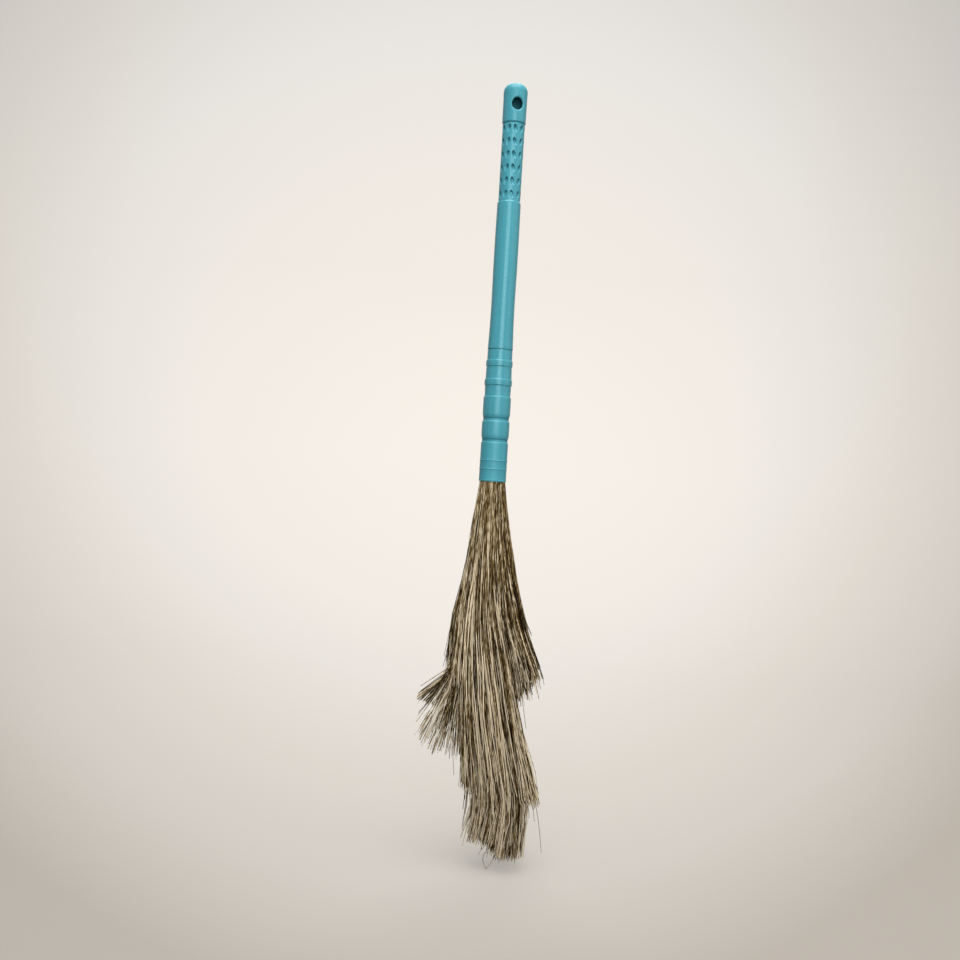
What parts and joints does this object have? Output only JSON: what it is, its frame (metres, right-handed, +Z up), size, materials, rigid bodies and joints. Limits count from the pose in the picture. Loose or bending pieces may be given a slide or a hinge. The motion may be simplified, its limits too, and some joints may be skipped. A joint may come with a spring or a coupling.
{
  "type": "long-handled floor broom",
  "caption": "Floor broom with a hollow moulded handle, dimpled grip and oval hanging hole, a ringed ferrule and a worn, ragged head of long stiff fibres.",
  "frame": {"origin": "centre of the hanging hole, on the handle's axis", "axes": "+Z up along the handle, from the fibre tips to the cap; -Y out of the hanging hole towards the side seen in the picture; +X to that viewer's right"},
  "size_m": [0.1523, 0.0835, 0.9892],
  "materials": {
    "teal_plastic": "satin moulded teal plastic",
    "hot_melt_glue": "set hot-melt glue",
    "binding_wire": "drawn galvanised wire",
    "fibre": "stiff brown fibre, dusty and worn"
  },
  "bodies": {
    "root": {"hang_cap": "teal_plastic", "handle_tube": "teal_plastic", "ferrule": "teal_plastic", "glue_plug": "hot_melt_glue", "upper_binding_wire": "binding_wire", "lower_binding_wire": "binding_wire", "left_hank": "fibre", "right_hank": "fibre", "front_tail_hank": "fibre", "back_tail_hank": "fibre"}
  },
  "joints": []
}
